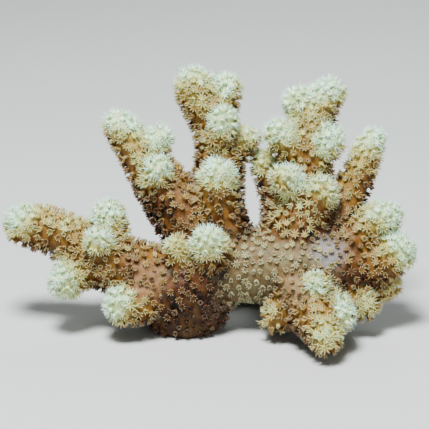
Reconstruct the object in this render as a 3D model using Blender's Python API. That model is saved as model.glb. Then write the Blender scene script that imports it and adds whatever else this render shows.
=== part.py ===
"""Finger leather coral: a fan of fleshy branches covered in raised polyps.

The colony stands on a stalk that is cut flat at the ground.  Each branch is a
closed tube that follows a smooth line.  Its skin is a lattice of triangles, and
about every second triangle carries a polyp, a small pointed bump.
"""

import heapq
import math
import random

import bmesh
import bpy
import numpy as np
from mathutils import Vector

MM = 0.001

# Driving dimensions, in millimetres unless a name says otherwise.
FAN_LEAN_DEGREES = 20.0       # the fan of branches leans back from upright
FOOT_SETBACK = 4.9            # the stalk's cut lies this far behind the fan's zero
POLYP_HEIGHT = 2.4            # how far a polyp stands out of the flesh
POLYP_HEIGHT_SPREAD = 0.18    # share by which one polyp differs from another
LOW_POLYP_HEIGHT = 1.3        # the same height on the stalk and the web
BRANCH_CELL = 5.85            # side of one lattice triangle on the branches
TIP_CELL = 4.7                # the same on short fingers and on every tip
WEB_CELL = 6.6                # the same on the smooth web
STALK_CELL = 7.6              # the same on the stalk
LUMP_HEIGHT = 0.35            # slow lumps of the flesh
JOINT_GAP = 0.36              # space left where one branch grows out of another
POLYP_CLEARANCE = 1.6         # no polyp tip stands nearer to another branch
TIP_CLEARANCE = 2.6           # nor nearer to a polyp tip of another branch
TRIM_REACH = 6.0              # branches farther apart than this cannot meet
STALK_BARE_HEIGHT = 9.0       # the stalk has no polyps below this height
MERGE_DISTANCES = (0.06, 0.03, 0.01, 0.0)   # largest first
LINE_STEP = 0.8               # distance between points of a smoothed line

SEED = 20

# Each branch: where it grows from, its lattice side, its colour and the points
# of its line.  A point is across to the right, up the fan, out of the fan
# toward the front, and the radius of the flesh there.
BRANCHES = {
    "trunk": (
        None, STALK_CELL, "stalk",
        [(-1, -11, -9, 12.5), (-1, 1.5, -5, 13.6), (2, 10, -1, 14.8),
         (8, 22, 1, 15.4), (13, 32, 1, 13.2), (15.5, 38, 0.5, 11)]),
    "web": (
        "trunk", WEB_CELL, "web",
        [(11, 24, 1, 12.4), (24.5, 25, 3, 12.6), (38.5, 25.5, 5, 12.6),
         (52.5, 25, 6, 12.2), (64.5, 24.5, 5, 10.8), (74, 25, 4, 8.6)]),
    "rear_root": (
        "trunk", STALK_CELL, "stalk",
        [(-1, 4, -6, 12), (2, 9, -20, 12.5), (12, 14.5, -34, 10.5),
         (26, 16.5, -37.5, 12), (40, 15, -34, 10)]),
    "rear_stalk": (
        "web", STALK_CELL, "stalk",
        [(42, 25, -3, 8.5), (42, 22.5, -16, 8.5), (41, 17, -29, 9.5),
         (39, 8, -37, 10.5)]),
    "left_arm": (
        "trunk", BRANCH_CELL, "branch",
        [(2.5, 17, 1.5, 12.4), (-10.5, 19.5, 3, 12.6), (-23.5, 25, 4, 11),
         (-35.5, 30.5, 4.5, 9.6), (-50, 39, 4.5, 7.8), (-62.5, 42.2, 4.5, 7.1)]),
    "upper_left_branch": (
        "trunk", BRANCH_CELL, "branch",
        [(9, 32, 0, 11.2), (1.5, 43.5, -1, 11.4), (-7.8, 56.5, -1.5, 9.6),
         (-18, 70, -1.5, 6.8), (-25.5, 81.5, -1.5, 5.3)]),
    "centre_branch": (
        "trunk", BRANCH_CELL, "branch",
        [(13, 33.5, 0, 10.8), (13.2, 48, -1.5, 9.6), (14, 62, -3, 8.6),
         (13, 79, -3, 7.6), (8, 90, -3, 7.4), (4.5, 96.5, -2.5, 7.2)]),
    "right_centre_branch": (
        "web", BRANCH_CELL, "branch",
        [(45.5, 27, 1, 12.4), (45.5, 40, 1, 12.8), (47.5, 52, 1, 11.6),
         (48.2, 65, 1, 9.2), (50.5, 78, 1, 8.2), (51.5, 87, 0.5, 6.4)]),
    "low_lobe": (
        "web", BRANCH_CELL, "branch",
        [(43, 21.5, 5, 10.8), (47, 15, 12, 9.8), (50.8, 8.2, 20, 8.6),
         (54, 1.2, 28, 6.4), (54.2, -1.8, 31, 5.1)]),
    "right_branch": (
        "web", BRANCH_CELL, "branch",
        [(55, 29.5, 1, 10), (60.5, 42, 0, 8.8), (65, 52.5, -0.5, 6.8),
         (69.5, 62, -1, 5.6), (72.5, 70, -1, 4.9), (75, 75.5, -1, 4.5)]),
    "right_end_finger": (
        "web", BRANCH_CELL, "branch",
        [(67, 24, 4, 9), (76, 27, 6, 7.6), (83.5, 31, 8, 6.4)]),
    "right_upper_finger": (
        "web", TIP_CELL, "branch",
        [(60, 27, 4, 8.4), (67, 35.5, 5, 7.2), (75, 42.5, 5, 6), (80, 45.5, 5, 5.2)]),
    "right_back_finger": (
        "web", BRANCH_CELL, "branch",
        [(69.5, 21.5, 1.5, 8), (75.5, 19.5, 2.5, 7), (79.5, 18.5, 3, 5.6)]),
    "low_right_lobe": (
        "web", BRANCH_CELL, "branch",
        [(64.5, 20, 4, 8.4), (68, 13.5, 7, 7.2), (71, 10.8, 8, 5.5)]),
    "centre_front_finger": (
        "centre_branch", BRANCH_CELL, "tip",
        [(13.2, 46, 4, 7.8), (13.4, 54, 7, 7), (13.4, 60.2, 9.5, 6.3)]),
    "middle_finger": (
        "trunk", TIP_CELL, "tip",
        [(11, 26, 9.5, 6.8), (10.8, 31.5, 15, 6.2), (10, 34.8, 18.5, 5.6)]),
    "small_middle_finger": (
        "trunk", TIP_CELL, "tip",
        [(1.5, 22.5, 8, 5.2), (-1, 29.5, 11, 4.4), (-2.5, 33, 13, 4)]),
    "left_under_finger": (
        "left_arm", TIP_CELL, "tip",
        [(-12, 15, 5.5, 8.4), (-18, 12, 10, 8), (-23, 11, 13, 6.6)]),
    "left_low_finger": (
        "left_arm", TIP_CELL, "tip",
        [(-36, 29, 5, 7), (-41.5, 23.5, 8, 6.2), (-46, 20, 10.5, 5.6)]),
    "left_up_finger": (
        "left_arm", TIP_CELL, "tip",
        [(-27.8, 30.5, 3.5, 6.6), (-28.6, 39, 3, 5.6), (-30.2, 46.5, 2.5, 5.2)]),
    "left_front_finger": (
        "left_arm", TIP_CELL, "tip",
        [(-30.5, 30, 7, 5), (-32.5, 34, 12.5, 4.6), (-33, 35.5, 16, 4.2)]),
    "upper_left_side_finger": (
        "upper_left_branch", TIP_CELL, "tip",
        [(-14, 65, -1, 5.2), (-11.5, 72, -0.5, 4.4), (-9.5, 77, 0, 4)]),
    "upper_left_front_finger": (
        "upper_left_branch", TIP_CELL, "tip",
        [(-12, 58.5, 3, 5), (-10.4, 62.5, 7, 4.2), (-9.4, 64.6, 9.5, 3.7)]),
    "centre_top_finger": (
        "centre_branch", TIP_CELL, "tip",
        [(12.5, 83, -2.5, 5.4), (16, 91, -2, 4.8), (17.5, 97, -1.5, 4.5)]),
    "centre_high_front_finger": (
        "centre_branch", TIP_CELL, "tip",
        [(13.5, 75, 1, 5.3), (15.5, 80, 4, 4.6), (15.8, 83.2, 6.5, 4.1)]),
    "centre_knob": (
        "centre_branch", TIP_CELL, "branch",
        [(16, 70, -3, 5.2), (22, 73.5, -3, 4.6), (26, 76.5, -3, 3.8)]),
    "slot_finger": (
        "web", BRANCH_CELL, "branch",
        [(33.5, 29, -1.5, 8.6), (36.8, 42, -4, 5.4), (36.4, 54, -5.5, 5),
         (32, 67, -6.5, 4.8)]),
    "right_centre_right_tip": (
        "right_centre_branch", TIP_CELL, "tip",
        [(52, 82.5, 0.5, 6), (55, 89.5, 1, 5.4), (58, 95, 1, 5)]),
    "right_centre_left_tip": (
        "right_centre_branch", TIP_CELL, "tip",
        [(50, 81.5, 1, 5.2), (47, 88, 1.5, 4.8), (44.5, 91.5, 2, 4.5)]),
    "right_centre_left_finger": (
        "right_centre_branch", TIP_CELL, "tip",
        [(46.5, 69, 2.5, 6.4), (41, 74.5, 4, 5.8), (38, 77.5, 5, 5.4)]),
    "right_centre_right_finger": (
        "right_centre_branch", TIP_CELL, "tip",
        [(52, 68, 2.5, 5.8), (56.2, 73, 5, 4.9), (58.4, 75.8, 6, 4.4)]),
    "right_centre_front_finger": (
        "right_centre_branch", TIP_CELL, "tip",
        [(44.8, 53, 6.5, 5.6), (41.4, 58.3, 11, 4.7), (39, 60.6, 14.5, 4.1)]),
    "right_centre_low_finger": (
        "right_centre_branch", TIP_CELL, "tip",
        [(49, 43, 5, 7.2), (51.5, 50, 9, 6), (54.5, 54.5, 11.5, 5)]),
    "low_left_lobe": (
        "low_lobe", TIP_CELL, "branch",
        [(43.5, 14, 8, 8.2), (39, 9, 11, 7), (36.2, 6, 12.5, 5.2)]),
    "low_front_finger": (
        "low_lobe", TIP_CELL, "tip",
        [(55.6, 10.5, 15, 6.6), (59.4, 8.3, 20, 5.2), (61.2, 6.8, 24, 4.3)]),
    "low_small_finger": (
        "low_lobe", TIP_CELL, "tip",
        [(52.4, 14.8, 11, 5), (51.2, 18.2, 19, 4), (50.4, 19.4, 24, 3.5)]),
    "back_left_finger": (
        "left_arm", BRANCH_CELL, "branch",
        [(-15, 21, 0, 6.8), (-17.5, 24, -7, 6), (-21.5, 29, -13.5, 4.4)]),
    "back_stalk_finger": (
        "trunk", BRANCH_CELL, "branch",
        [(2.5, 15, -4, 8), (-1, 24, -13, 6.4), (-4, 31, -18.5, 4.8)]),
    "back_upper_finger": (
        "upper_left_branch", BRANCH_CELL, "branch",
        [(-1.5, 43, -4, 8), (-5.5, 51, -11, 6), (-9.5, 59, -17, 4.4)]),
    "back_middle_finger": (
        "trunk", BRANCH_CELL, "branch",
        [(13, 27, -4, 8), (17, 37, -13, 6.4), (19, 46.5, -19, 4.8)]),
    "back_web_finger": (
        "web", BRANCH_CELL, "branch",
        [(40, 27, -2.5, 7.6), (42.5, 37.5, -11, 6), (43, 47, -17, 4.4)]),
    "back_right_finger": (
        "web", BRANCH_CELL, "branch",
        [(62.5, 27, -1.5, 7.2), (65.5, 34.5, -9.5, 5.8), (67, 41.5, -15, 4.4)]),
}

STANDING_BRANCHES = ("trunk", "rear_root", "rear_stalk")
LOW_POLYP_BRANCHES = ("trunk", "rear_root", "rear_stalk", "web")

COLOURS = {
    "stalk": (0.50, 0.31, 0.20),
    "web": (0.66, 0.50, 0.38),
    "branch": (0.62, 0.42, 0.26),
    "tip": (0.80, 0.74, 0.58),
}
FLESH_ROUGHNESS = 0.6


def fan_to_colony(across, up, out):
    """Turn a place in the fan into a place in the standing colony."""
    lean = math.radians(FAN_LEAN_DEGREES)
    return np.array([
        across,
        up * math.sin(lean) - out * math.cos(lean) - FOOT_SETBACK,
        up * math.cos(lean) + out * math.sin(lean),
    ])


def smooth_line(points):
    """Run a smooth line through the points; return places and radii along it."""
    places = np.array([[*fan_to_colony(*point[:3]), point[3]] for point in points])
    ends = np.vstack([2 * places[0] - places[1], places, 2 * places[-1] - places[-2]])
    samples = []
    for index in range(len(places) - 1):
        before, start, end, after = ends[index:index + 4]
        span = np.linalg.norm(end[:3] - start[:3])
        steps = max(2, int(math.ceil(span / LINE_STEP)))
        for t in np.arange(steps) / steps:
            samples.append(0.5 * (
                2 * start + (end - before) * t
                + (2 * before - 5 * start + 4 * end - after) * t ** 2
                + (3 * start - before - 3 * end + after) * t ** 3))
    samples.append(places[-1])
    samples = np.array(samples)
    return samples[:, :3], samples[:, 3]


def lumps(places):
    """Slow uneven height of the flesh at each place."""
    x, y, z = places.T
    wave = (np.sin(0.31 * x + 0.23 * z + 0.4) * np.cos(0.27 * y - 0.19 * x)
            + 0.6 * np.sin(0.52 * z - 0.37 * y + 1.3) * np.cos(0.45 * x + 0.8))
    return LUMP_HEIGHT * wave


class Branch:
    """The line of one branch, its lattice of points and which of them are polyps."""

    def __init__(self, name, parent, cell, colour, points):
        self.name = name
        self.parent = parent
        self.cell = cell
        self.colour = colour
        self.line, self.radii = smooth_line(points)
        self.random = random.Random(f"{SEED} {name}")
        self.make_lattice()

    def distance(self, places):
        """Distance of each place from the skin of the plain round tube."""
        starts = self.line[:-1]
        spans = self.line[1:] - starts
        offset = places[:, None, :] - starts[None, :, :]
        along = np.einsum("psx,sx->ps", offset, spans) / (spans ** 2).sum(1)
        along = np.clip(along, 0.0, 1.0)
        nearest = offset - along[:, :, None] * spans[None, :, :]
        radius = self.radii[:-1] + along * (self.radii[1:] - self.radii[:-1])
        return (np.linalg.norm(nearest, axis=2) - radius).min(1)

    def frames(self):
        """Two directions square to the line at each of its points, without twist."""
        tangents = np.gradient(self.line, axis=0)
        tangents /= np.linalg.norm(tangents, axis=1)[:, None]
        guide = Vector((0.31, 0.77, 0.56))
        sides = []
        for tangent in tangents:
            axis = Vector(tangent)
            guide = (guide - axis * guide.dot(axis)).normalized()
            sides.append(tuple(guide))
        sides = np.array(sides)
        return tangents, sides, np.cross(tangents, sides)

    def make_lattice(self):
        """Place staggered rings of points along the tube and join them."""
        tangents, sides, ups = self.frames()
        steps = np.linalg.norm(np.diff(self.line, axis=0), axis=1)
        travelled = np.concatenate([[0.0], np.cumsum(steps)])
        length = travelled[-1]
        tip_radius = self.radii[-1]
        skin_length = length + tip_radius * math.pi / 2
        tip_share = min(1.0, TIP_CELL / self.cell)

        rings = []
        walked = 0.0
        while walked < skin_length - 0.6 * TIP_CELL:
            rings.append(walked)
            nearness = max(0.0, 1.0 - (skin_length - walked) / (3.0 * tip_radius))
            side = self.cell * (1.0 - (1.0 - tip_share) * nearness)
            walked += side * math.sqrt(3.0) / 2
        rings = np.array(rings) * (skin_length / walked)

        places = []
        self.rings = []
        turn = self.random.random()
        previous = None
        for walked in rings:
            bend = max(0.0, walked - length) / tip_radius
            spot = min(walked, length)
            centre = np.array([np.interp(spot, travelled, self.line[:, k]) for k in range(3)])
            row = int(np.searchsorted(travelled, spot))
            row = min(row, len(self.line) - 1)
            radius = np.interp(spot, travelled, self.radii) * math.cos(bend)
            centre = centre + tangents[row] * tip_radius * math.sin(bend)
            nearness = max(0.0, 1.0 - (skin_length - walked) / (3.0 * tip_radius))
            side = self.cell * (1.0 - (1.0 - tip_share) * nearness)
            count = max(5, int(round(2 * math.pi * radius / side)))
            if count == previous:
                turn += 0.5 / count
            else:
                turn += 0.5 / count + 0.1 * self.random.random()
            previous = count
            angles = 2 * math.pi * (turn + np.arange(count) / count)
            wobble = np.array([self.random.uniform(-0.07, 0.07) for _ in range(count)])
            angles = angles + wobble * side / radius
            ring = (centre + radius * np.cos(angles)[:, None] * sides[row]
                    + radius * np.sin(angles)[:, None] * ups[row])
            first = sum(len(part) for part in places)
            self.rings.append((np.arange(first, first + count), angles))
            places.append(ring)

        root = self.line[0][None, :]
        pole = (self.line[-1] + tangents[-1] * tip_radius)[None, :]
        self.places = np.vstack(places + [root, pole])
        self.root_index = len(self.places) - 2
        self.pole_index = len(self.places) - 1
        self.faces = self.join_rings()
        self.normals = self.point_normals(self.places)
        raised = self.places + self.normals * lumps(self.places)[:, None]
        raised[self.root_index] = self.places[self.root_index]
        self.places = raised

    def join_rings(self):
        """Fill between neighbouring rings, whatever their counts, with triangles."""
        faces = []
        first_ring, _ = self.rings[0]
        count = len(first_ring)
        for k in range(count):
            faces.append((self.root_index, first_ring[(k + 1) % count], first_ring[k]))
        for (low, low_angles), (high, high_angles) in zip(self.rings, self.rings[1:]):
            shift = (high_angles - low_angles[0] + math.pi) % (2 * math.pi) - math.pi
            start = int(np.argmin(np.abs(shift)))
            high = np.roll(high, -start)
            high_turns = np.roll(high_angles, -start)
            high_turns = high_turns - high_turns[0] + shift[start]
            high_turns = np.where(np.arange(len(high)) > 0, high_turns % (2 * math.pi), high_turns)
            low_turns = low_angles - low_angles[0]
            low_turns = np.append(low_turns, 2 * math.pi)
            high_turns = np.append(high_turns, high_turns[0] + 2 * math.pi)
            a = 0
            b = 0
            while a < len(low) or b < len(high):
                step_low = b == len(high) or (
                    a < len(low) and low_turns[a + 1] <= high_turns[b + 1])
                if step_low:
                    faces.append((low[a % len(low)], low[(a + 1) % len(low)], high[b % len(high)]))
                    a += 1
                else:
                    faces.append((high[(b + 1) % len(high)], high[b % len(high)], low[a % len(low)]))
                    b += 1
        last_ring, _ = self.rings[-1]
        count = len(last_ring)
        for k in range(count):
            faces.append((last_ring[k], last_ring[(k + 1) % count], self.pole_index))
        return np.array(faces)

    def point_normals(self, places):
        """Mean direction of the faces around each point."""
        corners = places[self.faces]
        normals = np.cross(corners[:, 1] - corners[:, 0], corners[:, 2] - corners[:, 0])
        total = np.zeros_like(places)
        for corner in range(3):
            np.add.at(total, self.faces[:, corner], normals)
        return total / np.linalg.norm(total, axis=1)[:, None]

    def choose_polyps(self, others, taken):
        """Pick triangles that share no side, packed as closely as they go."""
        corners = self.places[self.faces]
        crosses = np.cross(corners[:, 1] - corners[:, 0], corners[:, 2] - corners[:, 0])
        facings = crosses / np.linalg.norm(crosses, axis=1)[:, None]
        height = LOW_POLYP_HEIGHT if self.name in LOW_POLYP_BRANCHES else POLYP_HEIGHT
        tips = corners.mean(1) + facings * height
        free = ~(self.faces == self.root_index).any(1)
        if taken:
            apart = np.linalg.norm(tips[:, None, :] - np.array(taken)[None, :, :], axis=2)
            free &= apart.min(1) > TIP_CLEARANCE
        for other in others:
            free &= other.distance(tips) > POLYP_CLEARANCE
        if self.name in STANDING_BRANCHES:
            free &= tips[:, 2] > STALK_BARE_HEIGHT
        free &= tips[:, 2] > 1.0

        sides = {}
        for number, face in enumerate(self.faces):
            for corner in range(3):
                side = frozenset((face[corner], face[corner - 1]))
                sides.setdefault(side, []).append(number)
        neighbours = [set() for _ in self.faces]
        for first, second in sides.values():
            neighbours[first].add(second)
            neighbours[second].add(first)

        left = {int(k) for k in np.flatnonzero(free)}
        queue = [(len(neighbours[k] & left), -k) for k in left]
        heapq.heapify(queue)
        chosen = []
        while queue:
            degree, k = heapq.heappop(queue)
            k = -k
            if k not in left:
                continue
            current = len(neighbours[k] & left)
            if degree != current:
                heapq.heappush(queue, (current, -k))
                continue
            chosen.append(k)
            removed = (neighbours[k] & left) | {k}
            left -= removed
            touched = set()
            for other in removed:
                touched |= neighbours[other]
            for other in touched & left:
                heapq.heappush(queue, (len(neighbours[other] & left), -other))
        return [(k, tips[k], facings[k] * height) for k in sorted(chosen)]

    def raise_polyps(self, others, taken):
        """Put a pointed bump on the chosen triangles, and note where its tip is."""
        points = list(self.places)
        faces = [tuple(face) for face in self.faces]
        for k, tip, rise in self.choose_polyps(others, taken):
            spread = self.random.uniform(-POLYP_HEIGHT_SPREAD, POLYP_HEIGHT_SPREAD)
            tip = tip + rise * spread
            a, b, c = faces[k]
            top = len(points)
            points.append(tip)
            faces[k] = (a, b, top)
            faces.append((b, c, top))
            faces.append((c, a, top))
            taken.append(tip)
        self.skin = np.array(points)
        self.faces = np.array(faces)

    def grown_skin(self):
        """The skin, larger all round by the gap of a joint."""
        return self.skin + self.point_normals(self.skin) * JOINT_GAP


def remove_scene_objects():
    for item in list(bpy.data.objects):
        bpy.data.objects.remove(item, do_unlink=True)


def new_object(name, points, faces):
    """A mesh object from points in millimetres."""
    mesh = bpy.data.meshes.new(name)
    mesh.from_pydata((points * MM).tolist(), [], faces.tolist())
    mesh.update()
    item = bpy.data.objects.new(name, mesh)
    bpy.context.scene.collection.objects.link(item)
    return item


def flesh_material(name, colour):
    material = bpy.data.materials.new(name)
    material.use_nodes = True
    shader = material.node_tree.nodes["Principled BSDF"]
    shader.inputs["Base Color"].default_value = (*colour, 1.0)
    shader.inputs["Roughness"].default_value = FLESH_ROUGHNESS
    shader.inputs["Metallic"].default_value = 0.0
    material.diffuse_color = (*colour, 1.0)
    return material


def cut_at_ground(item):
    """Cut a standing branch flat at the ground and close it."""
    body = bmesh.new()
    body.from_mesh(item.data)
    geometry = body.verts[:] + body.edges[:] + body.faces[:]
    cut = bmesh.ops.bisect_plane(
        body, geom=geometry, dist=0.00001, plane_co=(0, 0, 0), plane_no=(0, 0, 1),
        clear_inner=True)
    rim = [part for part in cut["geom_cut"] if isinstance(part, bmesh.types.BMEdge)]
    bmesh.ops.contextual_create(body, geom=rim)
    bmesh.ops.recalc_face_normals(body, faces=body.faces[:])
    body.to_mesh(item.data)
    body.free()


def trim(item, cutters):
    """Take the cutters away from a branch and keep the largest body."""
    for cutter in cutters:
        modifier = item.modifiers.new("trim", "BOOLEAN")
        modifier.operation = "DIFFERENCE"
        modifier.solver = "EXACT"
        modifier.object = cutter
    graph = bpy.context.evaluated_depsgraph_get()
    trimmed = bpy.data.meshes.new_from_object(item.evaluated_get(graph))
    item.modifiers.clear()
    item.data = trimmed


def is_closed(body):
    return all(len(edge.link_faces) == 2 for edge in body.edges)


def keep_largest_body(body):
    """Remove loose scraps that a cut left beside the main body."""
    left = set(body.faces)
    groups = []
    while left:
        face = left.pop()
        group = {face}
        front = [face]
        while front:
            current = front.pop()
            for edge in current.edges:
                for other in edge.link_faces:
                    if other in left:
                        left.discard(other)
                        group.add(other)
                        front.append(other)
        groups.append(group)
    groups.sort(key=lambda group: sum(face.calc_area() for face in group))
    for group in groups[:-1]:
        bmesh.ops.delete(body, geom=list(group), context="FACES")
    loose = [point for point in body.verts if not point.link_faces]
    bmesh.ops.delete(body, geom=loose, context="VERTS")


def clean(item):
    """Make triangles and close up the tiny sides a cut left, as far as the body stays closed."""
    for distance in MERGE_DISTANCES:
        body = bmesh.new()
        body.from_mesh(item.data)
        bmesh.ops.triangulate(body, faces=body.faces[:])
        if distance:
            bmesh.ops.remove_doubles(body, verts=body.verts[:], dist=distance * MM)
            bmesh.ops.dissolve_degenerate(body, edges=body.edges[:], dist=distance * MM / 2)
        keep_largest_body(body)
        bmesh.ops.triangulate(body, faces=body.faces[:])
        if is_closed(body):
            body.to_mesh(item.data)
            body.free()
            return
        body.free()
    raise ValueError(f"{item.name} is not closed")


def set_origin(item, place):
    """Move the origin of an object without moving its shape."""
    offset = Vector(place * MM)
    for point in item.data.vertices:
        point.co -= offset
    item.location = offset


def build_colony():
    remove_scene_objects()
    materials = {name: flesh_material(f"{name}_flesh", colour) for name, colour in COLOURS.items()}
    colony = bpy.data.objects.new("finger_leather_coral", None)
    bpy.context.scene.collection.objects.link(colony)

    branches = [Branch(name, *facts) for name, facts in BRANCHES.items()]
    taken = []
    for branch in branches:
        branch.raise_polyps([other for other in branches if other is not branch], taken)
    items = []
    for number, branch in enumerate(branches):
        item = new_object(branch.name, branch.skin, branch.faces)
        if branch.name in STANDING_BRANCHES:
            cut_at_ground(item)
        cutters = []
        for earlier in branches[:number]:
            if earlier.distance(branch.places).min() < TRIM_REACH:
                cutter = new_object("cutter", earlier.grown_skin(), earlier.faces)
                cutter.hide_render = True
                cutter.display_type = "WIRE"
                cutters.append(cutter)
        if cutters:
            trim(item, cutters)
        clean(item)
        for cutter in cutters:
            bpy.data.objects.remove(cutter, do_unlink=True)
        origin = branch.line[0].copy()
        if branch.name in STANDING_BRANCHES:
            origin[2] = 0.0
        set_origin(item, origin)
        item.data.materials.clear()
        item.data.materials.append(materials[branch.colour])
        for face in item.data.polygons:
            face.use_smooth = True
            face.material_index = 0
        item.parent = colony
        items.append(item)
    return items


build_colony()
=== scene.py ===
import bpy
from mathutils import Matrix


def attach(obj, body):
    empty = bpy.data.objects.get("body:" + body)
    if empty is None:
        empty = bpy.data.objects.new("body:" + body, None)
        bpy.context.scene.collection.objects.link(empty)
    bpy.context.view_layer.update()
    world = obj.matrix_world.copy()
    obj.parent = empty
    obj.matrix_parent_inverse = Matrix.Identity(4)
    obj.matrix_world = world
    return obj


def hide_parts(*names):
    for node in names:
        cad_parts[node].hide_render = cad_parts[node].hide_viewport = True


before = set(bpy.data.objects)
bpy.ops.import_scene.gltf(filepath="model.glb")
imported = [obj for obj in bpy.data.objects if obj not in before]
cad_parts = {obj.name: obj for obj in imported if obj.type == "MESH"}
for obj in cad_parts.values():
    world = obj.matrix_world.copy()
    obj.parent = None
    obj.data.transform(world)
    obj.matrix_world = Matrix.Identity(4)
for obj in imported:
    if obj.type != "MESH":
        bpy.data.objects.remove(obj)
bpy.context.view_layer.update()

import math

import bpy
import numpy as np
from mathutils import Vector

mm = 0.001
draws = np.random.default_rng(7)


# arrays in and out of meshes

def meshArrays(mesh):
    # places as rows of x, y, z, and triangles as rows of three point numbers
    mesh.calc_loop_triangles()
    places = np.empty(len(mesh.vertices) * 3, np.float32)
    mesh.vertices.foreach_get("co", places)
    corners = np.empty(len(mesh.loop_triangles) * 3, np.int32)
    mesh.loop_triangles.foreach_get("vertices", corners)
    return places.reshape(-1, 3).astype(float), corners.reshape(-1, 3)


def mergedCopy(item):
    # vertices that lie in one place become one
    places, faces = meshArrays(item.data)
    places, back = np.unique(places, axis=0, return_inverse=True)
    faces = back.reshape(-1)[faces]
    whole = (faces != np.roll(faces, -1, axis=1)).all(axis=1)
    return places, faces[whole]


def areaVectors(places, faces):
    # half the cross product of two sides: as long as the face is large, and square to it
    a, b, c = (places[faces[:, k]] for k in range(3))
    return np.cross(b - a, c - a) / 2


def unit(vectors):
    # each vector over its own length
    return vectors / np.maximum(np.linalg.norm(vectors, axis=-1, keepdims=True), 1e-12)


def pointNormals(places, faces):
    # sum of the area vectors of the faces round each point, made one long
    total = np.zeros_like(places)
    areas = areaVectors(places, faces)
    for k in range(3):
        np.add.at(total, faces[:, k], areas)
    return unit(total)


def newMesh(name, places, *faceArrays):
    # faces of each count of sides come in an array of their own
    mesh = bpy.data.meshes.new(name)
    corners = np.concatenate([faces.ravel() for faces in faceArrays])
    sides = np.concatenate([np.full(len(faces), faces.shape[1]) for faces in faceArrays])
    mesh.vertices.add(len(places))
    mesh.vertices.foreach_set("co", places.astype(np.float32).ravel())
    mesh.loops.add(len(corners))
    mesh.loops.foreach_set("vertex_index", corners.astype(np.int32))
    mesh.polygons.add(len(sides))
    mesh.polygons.foreach_set("loop_start", (np.cumsum(sides) - sides).astype(np.int32))
    mesh.update(calc_edges=True)
    mesh.polygons.foreach_set("use_smooth", np.ones(len(sides), bool))
    return mesh


def newPiece(name, mesh, material):
    piece = bpy.data.objects.new(name, mesh)
    bpy.context.scene.collection.objects.link(piece)
    mesh.materials.append(material)
    return piece


def setAttribute(mesh, name, values):
    layer = mesh.attributes.new(name, "FLOAT", "POINT")
    layer.data.foreach_set("value", values.astype(np.float32))


def smoothStep(value, low, high):
    # 3t^2 - 2t^3, with t the share of the way from low to high
    t = np.clip((value - low) / (high - low), 0, 1)
    return t * t * (3 - 2 * t)


def nearest(places, targets):
    # which target b is nearest to each place a: the least |b|^2 - 2ab, in blocks
    block = 1500
    found = []
    squares = np.einsum("ij,ij->i", targets, targets)
    for first in range(0, len(places), block):
        found.append(np.argmin(squares - 2 * places[first:first + block] @ targets.T, axis=1))
    return np.concatenate(found)


def blurred(values, quads, rounds):
    # each round takes the mean of a point and the points that share a side with it
    ends = np.vstack([quads[:, [k, (k + 1) % 4]] for k in range(4)])
    count = np.bincount(ends.ravel(), minlength=len(values)) + 1
    for _ in range(rounds):
        total = values + np.bincount(ends[:, 0], values[ends[:, 1]], len(values))
        total += np.bincount(ends[:, 1], values[ends[:, 0]], len(values))
        values = total / count
    return values


# the CAD nodes: flesh with the bumps laid flat, and where the bumps stand

leastBump = 0.7             # mm, a point with three faces that stands out by more is a bump's top


def takeBumps(places, faces):
    # a bump's top has three faces; its foot is the mean of their outer corners (each corner
    # is met twice, hence the 6), and its way out is the sum of their area vectors, made one long
    count = np.bincount(faces.ravel(), minlength=len(places))
    foot = np.zeros_like(places)
    out = np.zeros_like(places)
    areas = areaVectors(places, faces)
    for k in range(3):
        top = faces[:, k]
        np.add.at(foot, top, (places[faces[:, (k + 1) % 3]] + places[faces[:, (k + 2) % 3]]) / 6)
        np.add.at(out, top, areas)
    out = unit(out)
    height = np.einsum("ij,ij->i", places - foot, out)
    isTop = (count == 3) & (height > leastBump * mm)
    flat = places.copy()
    flat[isTop] = foot[isTop]
    return flat, foot[isTop], out[isTop]


nodeNames = sorted(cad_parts)
nodeFlats = {}              # places with the bumps laid flat, and faces
nodeTops = {}               # places with the bumps as they stand
bumpFeet, bumpWays = [], []
for name in nodeNames:
    places, faces = mergedCopy(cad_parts[name])
    flat, feet, ways = takeBumps(places, faces)
    nodeFlats[name] = (flat, faces)
    nodeTops[name] = places
    bumpFeet.append(feet)
    bumpWays.append(ways)
bumpFeet = np.vstack(bumpFeet)
bumpWays = np.vstack(bumpWays)
print("bumps on the CAD nodes:", len(bumpFeet))


# flesh: one skin over all the nodes

flesh = {
    "swell": 1.35,          # mm, first grown by this, so that narrow crotches fill up
    "shrink": 1.05,         # mm, then taken back by this
    "coarseVoxel": 1.0,     # mm
    "fineVoxel": 0.85,      # mm
    "firstSmooth": 6,       # rounds of smoothing
    "lastSmooth": 8,
    "knobHeight": 0.28,     # mm, slow unevenness
}


def remeshed(places, faces, voxel, smoothSteps):
    # one closed skin of four-sided faces round everything, a voxel apart, then smoothed
    mesh = newMesh("remeshSource", places, faces)
    item = bpy.data.objects.new("remeshSource", mesh)
    bpy.context.scene.collection.objects.link(item)
    remesh = item.modifiers.new("remesh", "REMESH")
    remesh.mode = "VOXEL"
    remesh.voxel_size = voxel * mm
    smooth = item.modifiers.new("smooth", "SMOOTH")
    smooth.iterations = smoothSteps
    smooth.factor = 0.5
    graph = bpy.context.evaluated_depsgraph_get()
    result = bpy.data.meshes.new_from_object(item.evaluated_get(graph))
    newPlaces = np.empty(len(result.vertices) * 3, np.float32)
    result.vertices.foreach_get("co", newPlaces)
    quads = np.empty(len(result.loops), np.int32)
    result.loops.foreach_get("vertex_index", quads)
    bpy.data.objects.remove(item)
    bpy.data.meshes.remove(mesh)
    bpy.data.meshes.remove(result)
    return newPlaces.reshape(-1, 3).astype(float), quads.reshape(-1, 4)


def halves(quads):
    # two triangles from each four-sided face
    return np.vstack([quads[:, [0, 1, 2]], quads[:, [0, 2, 3]]])


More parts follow.
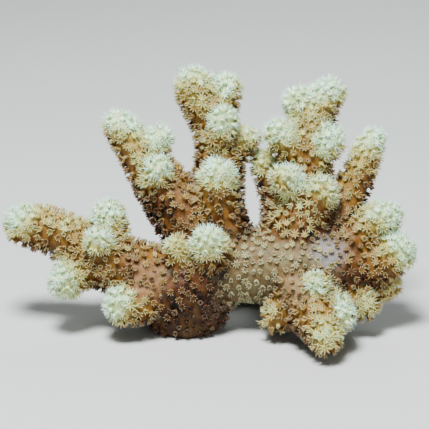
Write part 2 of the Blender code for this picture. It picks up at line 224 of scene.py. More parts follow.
def growFlesh():
    # all nodes grown by the swell become one skin, which is taken back by the shrink
    stack, faceStack, first = [], [], 0
    for name in nodeNames:
        flat, faces = nodeFlats[name]
        stack.append(flat + pointNormals(flat, faces) * flesh["swell"] * mm)
        faceStack.append(faces + first)
        first += len(flat)
    places, faces = np.vstack(stack), np.vstack(faceStack)
    places, quads = remeshed(places, faces, flesh["coarseVoxel"], flesh["firstSmooth"])
    places = places - pointNormals(places, halves(quads)) * flesh["shrink"] * mm
    places, quads = remeshed(places, halves(quads), flesh["fineVoxel"], flesh["lastSmooth"])
    x, y, z = (places / mm).T
    # knobs: products of sines at three slow wavelengths
    knob = (np.sin(0.83 * x + 0.4 * z) * np.cos(0.71 * y - 0.3 * x) * np.sin(0.77 * z + 0.2 * y + 1)
            + 0.6 * np.sin(1.43 * x - 0.5 * y) * np.sin(1.31 * z + 0.7 * x))
    normals = pointNormals(places, halves(quads))
    places = places + normals * (knob * flesh["knobHeight"] * mm)[:, None]
    places[:, 2] = np.maximum(places[:, 2], 0)          # the cut is flat
    return places, quads


fleshPlaces, fleshQuads = growFlesh()
fleshNormals = pointNormals(fleshPlaces, halves(fleshQuads))
print("flesh:", len(fleshPlaces), "points,", 2 * len(fleshQuads), "triangles")


# fingertips: where the colony is palest, and the painted light and shade in the same glow

tips = {
    "inset": 4.5,               # mm from a tip's end to the middle of its white
    "core": (2.6, 12.4),        # mm from that middle, where the white begins and ends to fade
    "coreShare": 0.8,
    "belowFrom": 2.0,           # mm under the middle, away from the light, where its white begins to fade faster: painted shade under the tip
    "belowWeight": 0.8,         # how much faster
    "halo": (8, 24),            # mm, the same for the faint paleness round it, on all nodes
    "haloShare": 0.1,
    "base": (0.02, 0.17),       # glow of a plain flank near the heart and far out; the lower glow near the heart is painted shade
    "outward": (14, 52),        # mm from the heart, where that changes
    "cream": (8, 30),           # mm from the tip, the paler upper half of a finger
    "creamShare": 0.15,
    "patchy": 0.07,             # brighter and duller patches, up and down by this
    "patchSize": 17.0,          # mm from one bright patch to the next
    "facing": 0.25,             # paler toward the light and duller away from it, by this
    "hollow": (0.2, 2.2, 0.2),  # mm of hollow where the painted shade begins and is full, and how dark it is
    "dim": {"centre_knob": 0.45, "slot_finger": 0.45, "right_back_finger": 0.55,
            "low_right_lobe": 0.5, "low_left_lobe": 0.4, "low_lobe": 0.4,
            "right_centre_low_finger": 0.65, "back_stalk_finger": 0.6,
            "small_middle_finger": 0.6, "centre_top_finger": 0.7, "left_front_finger": 0.7,
            "right_centre_left_finger": 0.7, "left_arm": 0.75},         # less white than the rest
    "without": ("trunk", "web", "rear_root", "rear_stalk"),             # no white at all
    "light": (-0.1, -0.35, 0.93),                                       # the way to the light
    "heart": ((2, 0, 8), (12, 0, 0)),       # mm from the trunk's middle, and from the web's
}
heartStart = nodeTops["trunk"].mean(0) + np.array(tips["heart"][0]) * mm
heartEnd = nodeTops["web"].mean(0) + np.array(tips["heart"][1]) * mm
nodePoints = np.vstack([nodeFlats[name][0] for name in nodeNames])
nodeOwners = np.repeat(np.arange(len(nodeNames)), [len(nodeFlats[name][0]) for name in nodeNames])


def awayFromHeart(places):
    # vectors from the nearest point of the heart, a line from inside the trunk to inside the web
    span = heartEnd - heartStart
    along = np.clip((places - heartStart) @ span / (span @ span), 0, 1)
    return places - heartStart - along[:, None] * span


def glowAt(places, ways, owners):
    # a node's own tip, a little inside its point farthest from the heart, makes a bright core
    # on that node and a weak halo on all; faces turned to the light are paler, a painted light;
    # the far branches are paler and the flanks near the heart and under each tip darker, a painted
    # shade
    light = unit(np.array(tips["light"]))
    core = np.zeros(len(places))
    halo = np.zeros(len(places))
    cream = np.zeros(len(places))
    for k, name in enumerate(nodeNames):
        if name in tips["without"]:
            continue
        outward = awayFromHeart(nodeTops[name])
        farthest = np.argmax(np.linalg.norm(outward, axis=1))
        tip = nodeTops[name][farthest] - unit(outward[farthest]) * tips["inset"] * mm
        strength = tips["dim"].get(name, 1.0)
        away = np.linalg.norm(places - tip, axis=1) / mm
        halo = np.maximum(halo, strength * (1 - smoothStep(away, *tips["halo"])))
        own = owners == k
        # painted shade: the core fades faster on the side of the tip away from the light
        below = np.maximum((tip - places[own]) @ light / mm - tips["belowFrom"], 0)
        counted = away[own] + tips["belowWeight"] * below
        core[own] = strength * (1 - smoothStep(counted, *tips["core"]))
        cream[own] = strength * (1 - smoothStep(away[own], *tips["cream"]))
    # painted shade: a plain flank near the heart has less glow than one far out
    far = smoothStep(np.linalg.norm(awayFromHeart(places), axis=1) / mm, *tips["outward"])
    base = tips["base"][0] + (tips["base"][1] - tips["base"][0]) * far
    turns = places / mm * (math.tau / tips["patchSize"])
    patchy = np.sin(turns[:, 0] + 0.6 * turns[:, 2]) * np.cos(0.8 * turns[:, 1] - turns[:, 2] + 0.7)
    faint = tips["haloShare"] * halo + tips["creamShare"] * cream
    return (base + core * tips["coreShare"] + faint * (1 - core)
            + tips["facing"] * (ways @ light) + tips["patchy"] * patchy)


# where polyps stand

sites = {
    "tipGap": 1.95,         # mm between polyps at a fingertip
    "flankGap": 3.05,       # on the branches
    "bareGap": 2.95,        # on the web and the root
    "tipGlow": (0.3, 0.7),  # the glow where one gap changes to the other
    "gapSpread": (0.9, 1.15),
    "clearGround": 2.2,     # mm above the ground, none below this
    "clearEnds": (3.5, 0.4),        # mm: a point this far out along a polyp stays this high
    "bumpShare": 0.8,       # of the gap, kept free round the CAD bumps
    "moundWidth": (0.3, 1.7),       # mm from the polyp, where the mound begins and ends to fall
    "moundHeight": 0.45,    # mm
    "bareMound": 0.5,       # share of that height on bare flesh
}


def gapAt(glow, bare):
    # flank gap and bare gap mixed by the bareness, then mixed with the tip gap by the glow
    gap = sites["flankGap"] + (sites["bareGap"] - sites["flankGap"]) * bare
    return (gap + (sites["tipGap"] - gap) * smoothStep(glow, *sites["tipGlow"])) * mm


def keepApart(places, gaps, fixed):
    # thins places in random order: one stays if none before it that stays is nearer than its
    # gap; in each block, those with no unsure one before them are settled round by round
    order = draws.permutation(len(places))
    block = 600
    alive = np.ones(len(places), bool)
    for first in range(0, len(fixed), block):
        apart = np.linalg.norm(places[:, None] - fixed[None, first:first + block], axis=2).min(1)
        alive &= apart > sites["bumpShare"] * gaps
    waiting = order[alive[order]]
    kept = []
    while len(waiting):
        now = waiting[:block]
        apart = np.linalg.norm(places[now][:, None] - places[now][None], axis=2)
        before = np.tril(apart < gaps[now][:, None], -1)
        good, unsure = np.zeros(len(now), bool), np.ones(len(now), bool)
        while unsure.any():
            good |= unsure & ~(before & (good | unsure)).any(1)
            unsure &= ~good & ~(before & good).any(1)
        now = now[good]
        kept.append(now)
        waiting = waiting[block:]
        if len(waiting):
            apart = np.linalg.norm(places[waiting][:, None] - places[now][None], axis=2).min(1)
            waiting = waiting[apart > gaps[waiting]]
    return np.concatenate(kept)


skin = {
    "bare": {"trunk": 0.65, "web": 0.8, "rear_root": 1.0, "rear_stalk": 0.7},   # small polyps
    "pale": {"web": 1.0, "rear_stalk": 0.6, "rear_root": 0.2},  # share of cream in the colour
    "paintedShade": {"trunk": 0.13},        # taken off its glow where it is low: painted shade on the trunk
    "paintedShadeUnder": 0.35,              # only where the glow is less than this
    "end": (52, 66),                # mm along the width, where bare and pale end
    "underGlow": (0.35, 0.6),       # and the glow that ends them too
    "glowRounds": 3,                # blurs of the borders, in points of the skin
    "bareRounds": 12,
    "paleRounds": 40,
    "shapeRounds": 60,              # the blur that shows the hollows
    "patches": {                    # place and reach in mm, where polyps are few and small
        "lilac": ((56.5, -8.0, 35.0), 10.0),
        "peach": ((-14.0, -12.5, 24.0), 11.0),
        "edge": ((25.0, -9.0, 13.0), 9.0),
        "cream": ((43.5, -19.0, 23.5), 10.0),
    },
    "patchFull": 0.3,               # share of the reach that is all patch
    "patchBare": 0.9,
    "patchGlow": (0.2, 0.7),        # the glow of a patch, and its share
    "bright": {"place": (43.0, -2.0, 46.5), "reach": 14.0, "full": 0.4, "more": 0.3},
}
bareShares, paleShares, paintedShadeShares = (
    np.array([skin[key].get(name, 0.0) for name in nodeNames]) for key in ("bare", "pale", "paintedShade"))
fleshOwner = nodeOwners[nearest(fleshPlaces, nodePoints)]
fleshGlow = blurred(glowAt(fleshPlaces, fleshNormals, fleshOwner), fleshQuads, skin["glowRounds"])
# hollow: how far the skin's blurred shape stands out over the skin
blurredPlaces = np.stack(
    [blurred(column, fleshQuads, skin["shapeRounds"]) for column in fleshPlaces.T], 1)
hollow = np.einsum("ij,ij->i", blurredPlaces - fleshPlaces, fleshNormals) / mm
# painted shade: glow taken off in the hollows of the skin
fleshGlow = np.clip(fleshGlow - tips["hollow"][2] * smoothStep(hollow, *tips["hollow"][:2]), 0, 1)
# painted shade on the trunk: its share blurred over the skin and taken off a low glow
paintedShade = blurred(paintedShadeShares[fleshOwner], fleshQuads, skin["bareRounds"])
fleshGlow = np.maximum(fleshGlow - paintedShade * (fleshGlow < skin["paintedShadeUnder"]), 0)
fading = 1 - smoothStep(fleshGlow, *skin["underGlow"])
ending = 1 - smoothStep(fleshPlaces[:, 0] / mm, *skin["end"])
fleshBare = blurred(bareShares[fleshOwner], fleshQuads, skin["bareRounds"]) * fading * ending
fleshPale = blurred(paleShares[fleshOwner], fleshQuads, skin["paleRounds"]) * fading * ending
fleshPatches = {}
patchGlow, patchShare = skin["patchGlow"]
for name, (place, reach) in skin["patches"].items():
    away = np.linalg.norm(fleshPlaces / mm - place, axis=1)
    patch = 1 - smoothStep(away, skin["patchFull"] * reach, reach)
    fleshPatches[name] = patch
    fleshBare = np.maximum(fleshBare, skin["patchBare"] * patch)
    fleshGlow = fleshGlow + (patchGlow - fleshGlow) * patchShare * patch
print("deepest hollow of the skin:", hollow.max(), "mm")
onFlesh = nearest(bumpFeet, fleshPlaces)
fleshGaps = gapAt(fleshGlow, fleshBare) * draws.uniform(*sites["gapSpread"], len(fleshPlaces))
above = np.flatnonzero(fleshPlaces[:, 2] > sites["clearGround"] * mm)
extra = above[keepApart(fleshPlaces[above], fleshGaps[above], fleshPlaces[onFlesh])]
siteIds = np.concatenate([onFlesh, extra])
sitePlaces = fleshPlaces[siteIds]
siteWays = fleshNormals[siteIds]
siteWays[:len(onFlesh)] = unit(siteWays[:len(onFlesh)] + bumpWays)
farOut, high = sites["clearEnds"]
clear = (sitePlaces + siteWays * farOut * mm)[:, 2] > high * mm
siteIds, sitePlaces, siteWays = siteIds[clear], sitePlaces[clear], siteWays[clear]
siteGlow, siteBare, sitePale = fleshGlow[siteIds], fleshBare[siteIds], fleshPale[siteIds]
bright = skin["bright"]     # polyps near one place are paler
siteAway = np.linalg.norm(sitePlaces / mm - bright["place"], axis=1) / bright["reach"]
siteGlow = siteGlow + bright["more"] * (1 - smoothStep(siteAway, bright["full"], 1))
siteOwner = fleshOwner[siteIds]

# the skin rises to each polyp in a low round mound
fromSite = np.linalg.norm(fleshPlaces - sitePlaces[nearest(fleshPlaces, sitePlaces)], axis=1) / mm
mound = 1 - smoothStep(fromSite, *sites["moundWidth"])
moundHeight = sites["moundHeight"] * (1 - (1 - sites["bareMound"]) * fleshBare) * mm
fleshPlaces = fleshPlaces + fleshNormals * (moundHeight * mound)[:, None]
fleshPlaces[:, 2] = np.maximum(fleshPlaces[:, 2], 0)
sitePlaces = sitePlaces + siteWays * moundHeight[siteIds][:, None]
print("polyps:", len(siteIds), "of them on bumps:", len(bumpFeet))


# polyp: a short column whose rim runs out into eight tapered tentacles

polyp = {
    "footRadius": (1.05, 0.85, 0.95),       # mm on a flank, at a tip, on bare flesh
    "rimRadius": (0.95, 0.85, 0.85),        # mm
    "columnHeight": (0.75, 0.9, 0.32),      # mm
    "tentacleLength": (1.65, 2.2, 1.25),    # mm
    "tentacleWidth": (0.17, 0.12, 0.15),    # mm, half of it, at its middle
    "middle": 0.6,              # share of its length out to its middle
    "openness": (0.46, 0.62, 0.45),         # 0 closed, 1 wide open
    "opennessSpread": 0.2,
    "closedAngle": -14,         # degrees from the polyp's own way up
    "openAngle": 68,
    "angleSpread": 9,           # degrees
    "curl": 40,                 # degrees more from the tentacle's middle to its end
    "straightAt": 0.35,         # the openness without a curl
    "curlSpread": (0.4, 1.5),
    "lean": 0.16,               # how far a polyp tips over, as a share of its height
    "sizeSpread": (0.85, 1.15),
    "tipGlow": (0.25, 0.75),    # the glow where flank changes to tip
    "rimOpen": (0.85, 0.2),     # share of the rim when closed, and more of it when open
    "longOpen": (0.8, 0.3),     # the same for the tentacles
    "lengthSpread": (0.8, 1.15),
    "headingSpread": 0.08,      # radians round the axis
    "sunk": 0.45,               # mm of the column inside the skin
    "mouth": (0.5, 0.12),       # its radius and its depth, as shares of the rim
    "root": 0.9,                # where a tentacle begins, as a share of the rim
    "edges": (0.3, 0.9),        # how far its edges and its ridge stand off, in half widths
    "leastReach": 0.2,          # mm, and
    "mostTilt": 0.6,            # radians: both hold the edges together on a closed polyp
}
arms = 8


def byPlace(values, glow, bare):
    # flank and tip mixed by the glow, then mixed with the bare value by the bareness
    flank, tip, low = values
    value = flank + (tip - flank) * smoothStep(glow, *polyp["tipGlow"])
    return (value + (low - value) * bare)[:, None]


def polypTemplate():
    # points: foot ring, rim ring, mouth ring, then for each tentacle its middle
    # (two outer points and an inner one) and its end; faces with a flat map of their corners
    foot, rim, mouth, middle = 0, arms, 2 * arms, 3 * arms
    quads, quadMap, tris, triMap = [], [], [], []
    for k in range(arms):
        after = (k + 1) % arms
        m = middle + 4 * k
        left, right, inner, end = m, m + 1, m + 2, m + 3
        edges = [(k + share / 3) / arms for share in range(4)]      # three strips a tentacle
        quads.append((foot + k, foot + after, rim + after, rim + k))
        quadMap.append([(edges[0], 0.0), (edges[3], 0.0), (edges[3], 0.2), (edges[0], 0.2)])
        ring = ((rim + k, rim + after, right, left), (rim + after, mouth + k, inner, right),
                (mouth + k, rim + k, left, inner))
        for strip, corners in enumerate(ring):
            low, high = edges[strip], edges[strip + 1]
            quads.append(corners)
            quadMap.append([(low, 0.2), (high, 0.2), (high, 0.55), (low, 0.55)])
            tris.append((corners[3], corners[2], end))
            triMap.append([(low, 0.55), (high, 0.55), ((low + high) / 2, 0.88)])
        tris.append((rim + after, mouth + after, mouth + k))
        triMap.append([(edges[0], 0.9), (edges[1], 0.9), (edges[1], 0.99)])
    turns = [k * math.tau / arms for k in range(arms)]
    ring = [(0.1 * math.cos(turn), 0.045 * math.sin(turn)) for turn in turns]
    octagons = [[mouth + k for k in range(arms)], [foot + k for k in reversed(range(arms))]]
    octagonMap = [[(0.3 + x, 0.945 + y) for x, y in ring], [(0.7 + x, 0.945 + y) for x, y in ring]]
    along = [0.0] * arms + [0.4] * arms + [0.1] * arms + [0.72, 0.72, 0.72, 1.0] * arms
    return ([np.array(faces) for faces in (quads, tris, octagons)],
            [np.array(flat) for flat in (quadMap, triMap, octagonMap)], np.array(along))


polypFaces, polypMaps, polypAlong = polypTemplate()


def polypPoints(places, ways, glow, bare):
    # rings at their radius and height on the polyp's own axes; a tentacle goes out from the
    # rim at an angle from the way up, then bends by the curl, its middle a small triangle
    n = len(places)
    size = draws.uniform(*polyp["sizeSpread"], (n, 1))
    wideOpen = byPlace(polyp["openness"], glow, bare)
    wideOpen = np.clip(wideOpen + draws.normal(0, polyp["opennessSpread"], (n, 1)), 0, 1)
    ways = unit(ways + draws.normal(0, polyp["lean"], (n, 3)))
    right = unit(np.cross(ways, unit(draws.normal(size=(n, 3)))))
    front = np.cross(ways, right)

    def onAxes(radius, turn, height):
        # radius and height by polyp and spoke, turn in radians
        flat = np.cos(turn)[..., None] * right[:, None] + np.sin(turn)[..., None] * front[:, None]
        return places[:, None] + flat * radius[..., None] + ways[:, None] * height[..., None]

    spokes = np.broadcast_to(np.arange(arms) * math.tau / arms, (n, arms))
    between = spokes + math.pi / arms
    ones = np.ones((n, arms))
    height = byPlace(polyp["columnHeight"], glow, bare) * size * mm * ones
    least, more = polyp["rimOpen"]
    rim = byPlace(polyp["rimRadius"], glow, bare) * size * mm * (least + more * wideOpen) * ones
    foot = byPlace(polyp["footRadius"], glow, bare) * size * mm * ones
    mouthShare, mouthDepth = polyp["mouth"]
    rings = [onAxes(foot, spokes, -polyp["sunk"] * mm * ones), onAxes(rim, spokes, height),
             onAxes(rim * mouthShare, between, height - mouthDepth * rim)]

    least, more = polyp["longOpen"]
    length = byPlace(polyp["tentacleLength"], glow, bare) * size * (least + more * wideOpen) * mm
    length = length * draws.uniform(*polyp["lengthSpread"], (n, arms))
    angle = polyp["closedAngle"] + (polyp["openAngle"] - polyp["closedAngle"]) * wideOpen
    angle = np.radians(angle + draws.normal(0, polyp["angleSpread"], (n, arms)))
    curl = np.radians(polyp["curl"]) * (wideOpen - polyp["straightAt"])
    bend = angle + curl * draws.uniform(*polyp["curlSpread"], (n, 1))
    heading = between + draws.normal(0, polyp["headingSpread"], (n, arms))
    reach = rim * polyp["root"] + np.sin(angle) * length * polyp["middle"]
    rise = height + np.cos(angle) * length * polyp["middle"]
    wide = byPlace(polyp["tentacleWidth"], glow, bare) * size * mm * ones
    tilt = np.minimum(wide / np.maximum(reach, polyp["leastReach"] * mm), polyp["mostTilt"])
    edge, ridge = polyp["edges"]
    edgeReach, edgeRise = reach + edge * wide * np.cos(angle), rise - edge * wide * np.sin(angle)
    left = onAxes(edgeReach, heading - tilt, edgeRise)
    rightSide = onAxes(edgeReach, heading + tilt, edgeRise)
    inner = onAxes(reach - ridge * wide * np.cos(angle), heading,
                   rise + ridge * wide * np.sin(angle))
    rest = length * (1 - polyp["middle"])
    end = onAxes(reach + np.sin(bend) * rest, heading, rise + np.cos(bend) * rest)
    tentacles = np.stack([left, rightSide, inner, end], 2).reshape(n, -1, 3)
    return np.concatenate(rings + [tentacles], 1)


def polypPiece(name, ids, material):
    # all polyps of a group in one mesh; each has its own square cell in the flat map
    points = polypPoints(sitePlaces[ids], siteWays[ids], siteGlow[ids], siteBare[ids])
    n, per = points.shape[:2]
    first = (np.arange(n) * per)[:, None, None]
    mesh = newMesh(name, points.reshape(-1, 3),
                   *[(faces[None] + first).reshape(-1, faces.shape[1]) for faces in polypFaces])
    setAttribute(mesh, "along", np.tile(polypAlong, n))
    setAttribute(mesh, "glow", np.repeat(siteGlow[ids], per))
    setAttribute(mesh, "pale", np.repeat(sitePale[ids], per))
    setAttribute(mesh, "tint", np.repeat(draws.random(n), per))
    across = math.ceil(math.sqrt(n))
    cell = np.stack([np.arange(n) % across, np.arange(n) // across], 1)[:, None, None]
    margin = 0.04               # of a cell, on each side
    flat = [((cell + margin + (1 - 2 * margin) * part[None]) / across).reshape(-1, 2)
            for part in polypMaps]
    layer = mesh.uv_layers.new(name="OFBake")
    layer.data.foreach_set("uv", np.concatenate(flat).astype(np.float32).ravel())
    return newPiece(name, mesh, material)


# materials

def nodeMaker(material):
    # gives a function that adds a node, with its inputs linked or set
    material.use_nodes = True
    tree = material.node_tree

    def add(kind, inputs=None, **settings):
        node = tree.nodes.new(kind)
        for key, value in settings.items():
            setattr(node, key, value)
        for key, value in (inputs or {}).items():
            if isinstance(value, bpy.types.NodeSocket):
                tree.links.new(value, node.inputs[key])
            else:
                node.inputs[key].default_value = value
        return node
    return add, tree


def mixColours(add, share, first, second, blend="MIX"):
    # inputs 0, 6 and 7 and output 2 are the colour ones of this node
    return add("ShaderNodeMix", {0: share, 6: first, 7: second},
               data_type="RGBA", blend_type=blend).outputs[2]


def mapRange(add, value, low, high, toLow=0.0, toHigh=1.0):
    # low to high becomes toLow to toHigh, and what lies outside stays at the ends
    return add("ShaderNodeMapRange", {"Value": value, "From Min": low, "From Max": high,
                                      "To Min": toLow, "To Max": toHigh}).outputs["Result"]


def ramp(add, value, stops):
    # a colour for each value, mixed evenly from stop to stop
    node = add("ShaderNodeValToRGB", {"Fac": value})
    marks = node.color_ramp.elements
    marks[0].position, marks[0].color = stops[0]
    marks[1].position, marks[1].color = stops[-1]
    for position, colour in stops[1:-1]:
        marks.new(position).color = colour
    return node.outputs["Color"]


def shaded(add, colour, shade):
    # multiplies a colour by a grey value
    grey = add("ShaderNodeCombineColor", {"Red": shade, "Green": shade, "Blue": shade})
    return mixColours(add, 1.0, colour, grey.outputs["Color"], "MULTIPLY")


noiseSpan = (0.3, 0.7)      # nearly all of a noise lies between these


def noise(add, place, scale, detail, roughness=0.5):
    return add("ShaderNodeTexNoise", {"Vector": place, "Scale": scale, "Detail": detail,
                                      "Roughness": roughness}).outputs["Fac"]


def attribute(add, name):
    return add("ShaderNodeAttribute", attribute_name=name).outputs["Fac"]


def worked(add, first, second, operation="ADD"):
    return add("ShaderNodeMath", {0: first, 1: second}, operation=operation).outputs[0]


def finishShader(add, tree, look, colour, fine, height):
    # roughness from the fine noise, and a bump from the height
    shader = tree.nodes["Principled BSDF"]
    bump = add("ShaderNodeBump", {"Height": height, "Strength": look["bumpStrength"],
                                  "Distance": look["bumpDistance"]})
    tree.links.new(colour, shader.inputs["Base Color"])
    tree.links.new(mapRange(add, fine, *noiseSpan, *look["roughness"]), shader.inputs["Roughness"])
    tree.links.new(bump.outputs["Normal"], shader.inputs["Normal"])
    shader.inputs["Subsurface Weight"].default_value = look["subsurface"]
    shader.inputs["Subsurface Scale"].default_value = look["subsurfaceScale"]
    shader.inputs["Specular IOR Level"].default_value = look["specular"]


fleshLook = {
    "deep": (0.013, 0.004, 0.0006, 1),
    "red": (0.10, 0.015, 0.004, 1),
    "rust": (0.125, 0.036, 0.002, 1),
    "tan": (0.25, 0.105, 0.012, 1),
    "mauve": (0.12, 0.08, 0.066, 1),
    "glowStops": ((0.0, (0.09, 0.03, 0.004, 1)), (0.42, (0.26, 0.13, 0.016, 1)),
                  (0.7, (0.48, 0.39, 0.10, 1)), (1.0, (0.58, 0.66, 0.36, 1))),
    "web": (0.20, 0.16, 0.073, 1),
    "webDeep": (0.15, 0.095, 0.038, 1),
    "patches": {"lilac": (0.25, 0.23, 0.24, 1), "peach": (0.28, 0.14, 0.058, 1),
                "edge": (0.15, 0.085, 0.033, 1), "cream": (0.30, 0.19, 0.09, 1)},
    "creamShare": 0.92,
    "patchShare": 0.85,
    "scales": (55.0, 170.0, 420.0, 1500.0),     # waves of noise in a metre: slow to grain
    "fineShade": (0.78, 1.15),                  # darkest and lightest
    "grainShade": (0.82, 1.1),
    "subsurface": 0.25,
    "subsurfaceScale": 0.002,
    "specular": 0.2,
    "roughness": (0.4, 0.65),
    "bumpStrength": 0.35,
    "bumpDistance": 0.0006,
}


def fleshMaterial():
    # dark red and rust in patches, tan over them by a slow noise, all paler with the glow,
    # which also carries painted light and shade; plain flesh is darkened further where the glow is
    # low, a painted shade; cream on the web, and a colour of its own on each smooth patch
    material = bpy.data.materials.new("coralFlesh")
    add, tree = nodeMaker(material)
    place = add("ShaderNodeTexCoord").outputs["Object"]
    look = fleshLook
    slowScale, patchScale, fineScale, grainScale = look["scales"]
    slow = noise(add, place, slowScale, 2.0)
    patch = noise(add, place, patchScale, 4.0)
    fine = noise(add, place, fineScale, 5.0, 0.6)
    grain = noise(add, place, grainScale, 3.0)
    glow = attribute(add, "glow")
    low = mixColours(add, mapRange(add, patch, 0.38, 0.5), look["deep"], look["rust"])
    low = mixColours(add, mapRange(add, patch, 0.54, 0.64), low, look["red"])
    high = mixColours(add, mapRange(add, patch, 0.4, 0.65), look["rust"], look["tan"])
    plain = mixColours(add, mapRange(add, slow, 0.42, 0.6), low, high)
    plain = mixColours(add, mapRange(add, fine, 0.5, 0.7, 0.0, 0.4), plain, look["mauve"])
    # painted shade: the plain flesh darkens where the glow is low
    plain = shaded(add, plain, mapRange(add, glow, 0.0, 0.3, 0.3, 1.0))
    bright = ramp(add, glow, look["glowStops"])
    flank = mixColours(add, mapRange(add, glow, 0.22, 0.55), plain, bright)
    cream = mixColours(add, mapRange(add, patch, 0.42, 0.6), look["web"], look["webDeep"])
    uneven = worked(add, attribute(add, "pale"), mapRange(add, patch, 0.35, 0.65, -0.3, 0.3))
    creamShare = mapRange(add, uneven, 0.15, 0.95, 0.0, look["creamShare"])
    colour = mixColours(add, creamShare, flank, cream)
    for name, tint in look["patches"].items():
        share = mapRange(add, attribute(add, name), 0.0, 1.0, 0.0, look["patchShare"])
        colour = mixColours(add, share, colour, tint)
    shade = worked(add, mapRange(add, grain, *noiseSpan, *look["grainShade"]),
                   mapRange(add, fine, *noiseSpan, *look["fineShade"]), "MULTIPLY")
    finishShader(add, tree, look, shaded(add, colour, shade), fine, worked(add, fine, grain))
    return material


polypLook = {
    "footStops": ((0.0, (0.012, 0.005, 0.001, 1)), (0.2, (0.05, 0.018, 0.003, 1)),
                  (0.42, (0.20, 0.10, 0.017, 1)), (0.7, (0.44, 0.36, 0.09, 1)),
                  (1.0, (0.56, 0.76, 0.42, 1))),
    "bodyStops": ((0.0, (0.022, 0.008, 0.002, 1)), (0.2, (0.13, 0.062, 0.012, 1)),
                  (0.42, (0.39, 0.26, 0.065, 1)), (0.7, (0.66, 0.64, 0.24, 1)),
                  (1.0, (0.78, 1.0, 0.70, 1))),
    "endStops": ((0.0, (0.035, 0.018, 0.008, 1)), (0.1, (0.12, 0.085, 0.045, 1)),
                 (0.2, (0.34, 0.30, 0.18, 1)), (0.42, (0.60, 0.58, 0.34, 1)),
                 (0.7, (0.74, 0.83, 0.50, 1)), (1.0, (0.62, 1.0, 0.90, 1))),
    "paleFoot": (0.20, 0.155, 0.07, 1),
    "paleBody": (0.40, 0.36, 0.19, 1),
    "paleEnds": (0.62, 0.66, 0.42, 1),
    "mauve": (0.28, 0.235, 0.22, 1),
    "paleShare": 0.85,
    "tintGlow": (-0.12, 0.14),      # duller and brighter polyps
    "mauveShare": 0.7,
    "scale": 900.0,                 # waves of noise in a metre
    "fineShade": (0.85, 1.08),
    "subsurface": 0.35,
    "subsurfaceScale": 0.0012,
    "specular": 0.25,
    "roughness": (0.32, 0.54),
    "bumpStrength": 0.25,
    "bumpDistance": 0.0002,
}


def polypMaterial():
    # foot, body and ends each have a colour by the glow, which also carries painted light and
    # shade, mixed along the polyp; a tint of its own makes one polyp brighter or more mauve than
    # the next
    material = bpy.data.materials.new("polypFlesh")
    add, tree = nodeMaker(material)
    place = add("ShaderNodeTexCoord").outputs["Object"]
    look = polypLook
    fine = noise(add, place, look["scale"], 4.0)
    along, glow, pale, tint = (attribute(add, name) for name in ("along", "glow", "pale", "tint"))
    glowHere = worked(add, glow, mapRange(add, tint, 0.0, 1.0, *look["tintGlow"]))
    paler = mapRange(add, pale, 0.0, 1.0, 0.0, look["paleShare"])
    foot = ramp(add, glowHere, look["footStops"])
    foot = mixColours(add, mapRange(add, pale, 0.0, 1.0, 0.0, 0.8), foot, look["paleFoot"])
    body = ramp(add, glowHere, look["bodyStops"])
    body = mixColours(add, paler, body, look["paleBody"])
    mauveShare = worked(add, mapRange(add, tint, 0.5, 0.9, 0.0, look["mauveShare"]),
                        mapRange(add, glow, 0.3, 0.6, 1.0, 0.0), "MULTIPLY")
    ends = mixColours(add, mauveShare, ramp(add, glowHere, look["endStops"]), look["mauve"])
    ends = mixColours(add, paler, ends, look["paleEnds"])
    colour = mixColours(add, mapRange(add, along, 0.02, 0.36), foot, body)
    colour = mixColours(add, mapRange(add, along, 0.42, 0.85), colour, ends)
    colour = shaded(add, colour, mapRange(add, fine, *noiseSpan, *look["fineShade"]))
    finishShader(add, tree, look, colour, fine, fine)
    return material


# pieces

fleshMesh = newMesh("coralFlesh", fleshPlaces, fleshQuads)
setAttribute(fleshMesh, "glow", fleshGlow)
setAttribute(fleshMesh, "pale", fleshPale)
for name, patch in fleshPatches.items():
    setAttribute(fleshMesh, name, patch)
fleshPiece = newPiece("coralFlesh", fleshMesh, fleshMaterial())
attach(fleshPiece, "root")
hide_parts(*nodeNames)

polypGroups = {
    "polypsLeftArm": ("left_",),
    "polypsUpperLeft": ("upper_left_", "small_middle_", "middle_"),
    "polypsCentre": ("centre_", "slot_"),
    "polypsRightCentre": ("right_centre_",),
    "polypsRight": ("right_branch", "right_end_", "right_upper_", "right_back_"),
    "polypsLow": ("low_",),
    "polypsBack": ("back_", "rear_"),
    "polypsStalkAndWeb": ("trunk", "web"),
}
polypFlesh = polypMaterial()
for name, starts in polypGroups.items():
    members = [k for k, node in enumerate(nodeNames) if node.startswith(starts)]
    ids = np.flatnonzero(np.isin(siteOwner, members))
    piece = polypPiece(name, ids, polypFlesh)
    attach(piece, "root")
    print(name, len(ids), "polyps,", len(piece.data.polygons), "faces")


# floor, light and camera

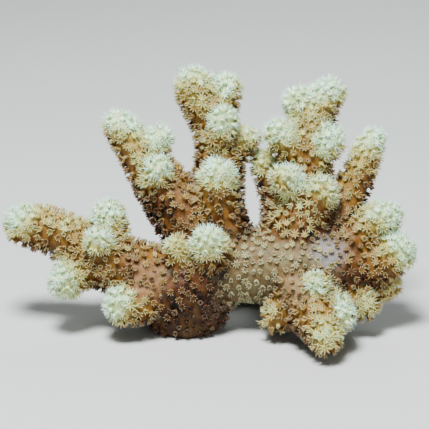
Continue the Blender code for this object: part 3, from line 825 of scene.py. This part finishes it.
stage = {
    "floorSize": 4.0,       # m
    "floorDrop": 0.05,      # mm under the cut
    "floorColour": (0.58, 0.58, 0.57, 1),
    "floorRoughness": 0.8,
    "lean": 20.0,           # degrees the camera looks down
    "lens": 150.0,           # mm
    "sensor": 36.0,          # mm
    "pixels": 429,
    "mmPerPixel": 0.4,
    "aim": (12.2, 15.2, 41.8),      # mm, the middle of the picture
    "clipStart": 0.01,      # m
    "key": (23.5, 0.25, (-0.10, -0.28, 0.86)),      # watts, size and place in m
    "fill": (1.0, 0.6, (0.5, -0.7, 0.30)),
    "rim": (2.5, 0.4, (0.2, 0.6, 0.6)),
    "lampColour": (0.94, 1.0, 0.985),
    "sky": (0.86, 0.93, 1.0, 1),
    "skyStrength": 0.13,
}


def makeFloor():
    half, low = stage["floorSize"] / 2, -stage["floorDrop"] * mm
    corners = np.array([[-half, -half, low], [half, -half, low],
                        [half, half, low], [-half, half, low]])
    material = bpy.data.materials.new("floor")
    add, tree = nodeMaker(material)
    shader = tree.nodes["Principled BSDF"]
    shader.inputs["Base Color"].default_value = stage["floorColour"]
    shader.inputs["Roughness"].default_value = stage["floorRoughness"]
    floor = newPiece("floor", newMesh("floor", corners, np.array([[0, 1, 2, 3]])), material)


def makeLight(name, aim):
    # a square lamp that looks at the aim
    watts, size, place = stage[name]
    lamp = bpy.data.lights.new(name, "AREA")
    lamp.energy = watts
    lamp.size = size
    lamp.color = stage["lampColour"]
    light = bpy.data.objects.new(name, lamp)
    bpy.context.scene.collection.objects.link(light)
    light.location = place
    light.rotation_euler = (aim - Vector(place)).to_track_quat("-Z", "Y").to_euler()


def makeCamera(aim):
    # distance: the lens over the sensor, times the width of the picture at the aim
    lean = math.radians(stage["lean"])
    distance = stage["lens"] / stage["sensor"] * stage["pixels"] * stage["mmPerPixel"] * mm
    camera = bpy.data.objects.new("camera", bpy.data.cameras.new("camera"))
    camera.data.lens = stage["lens"]
    camera.data.sensor_width = stage["sensor"]
    camera.data.clip_start = stage["clipStart"]
    bpy.context.scene.collection.objects.link(camera)
    back = Vector((0, -math.cos(lean), math.sin(lean)))
    camera.location = aim + back * distance
    camera.rotation_euler = (-back).to_track_quat("-Z", "Y").to_euler()
    bpy.context.scene.camera = camera


makeFloor()
aim = Vector(stage["aim"]) * mm
for name in ("key", "fill", "rim"):
    makeLight(name, aim)
makeCamera(aim)
world = bpy.data.worlds.new("studio")
world.use_nodes = True
world.node_tree.nodes["Background"].inputs["Color"].default_value = stage["sky"]
world.node_tree.nodes["Background"].inputs["Strength"].default_value = stage["skyStrength"]
bpy.context.scene.world = world

print("stage set")
